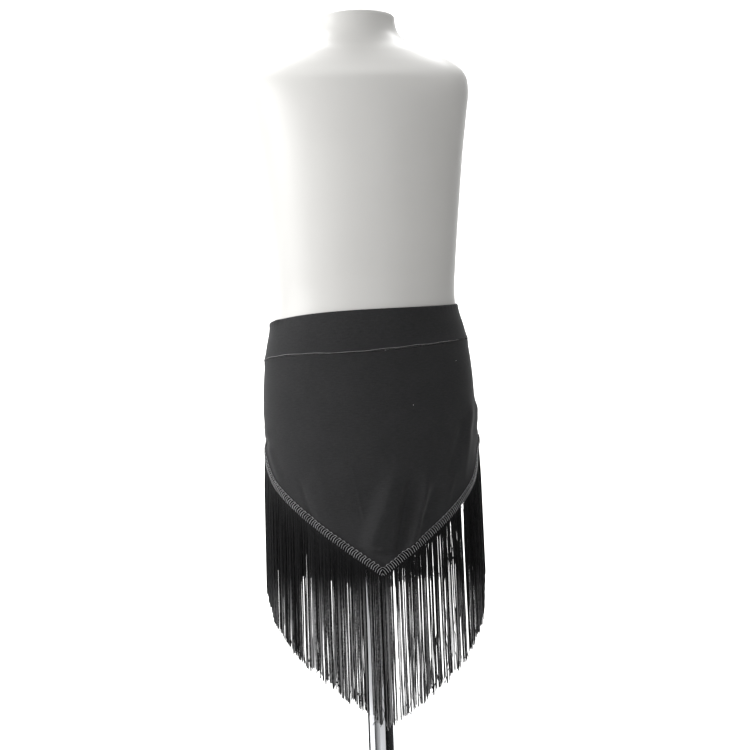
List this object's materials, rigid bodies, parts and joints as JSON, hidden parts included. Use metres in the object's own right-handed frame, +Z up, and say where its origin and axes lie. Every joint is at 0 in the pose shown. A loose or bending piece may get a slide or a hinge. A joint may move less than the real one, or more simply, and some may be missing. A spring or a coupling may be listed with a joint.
{
  "type": "fringe mini skirt on a limbless dress form",
  "caption": "Pull-on stretch knit mini skirt with a yoke band, a pointed front hem and long strand fringe, worn by a smooth dress form on a round-based pole stand.",
  "frame": {"origin": "centre of the stand's underside, on the floor", "axes": "+Z up the pole, -Y towards the front of the skirt, +X towards the wearer's left"},
  "size_m": [0.27, 0.27, 1.143],
  "materials": {
    "knit": "matt black stretch jersey with a faint nap",
    "rayon": "black rayon with a soft sheen, braided heading over loose strands",
    "form_skin": "smooth white satin shell",
    "chrome": "polished",
    "steel": "fine brushed"
  },
  "bodies": {
    "root": {"band_front": "knit", "band_back": "knit", "panel_front": "knit", "panel_back": "knit", "fringe_left": "rayon", "fringe_right": "rayon", "dress_form": "form_skin", "stand_pole": "chrome", "stand_collar": "chrome", "stand_base": "steel"}
  },
  "joints": []
}
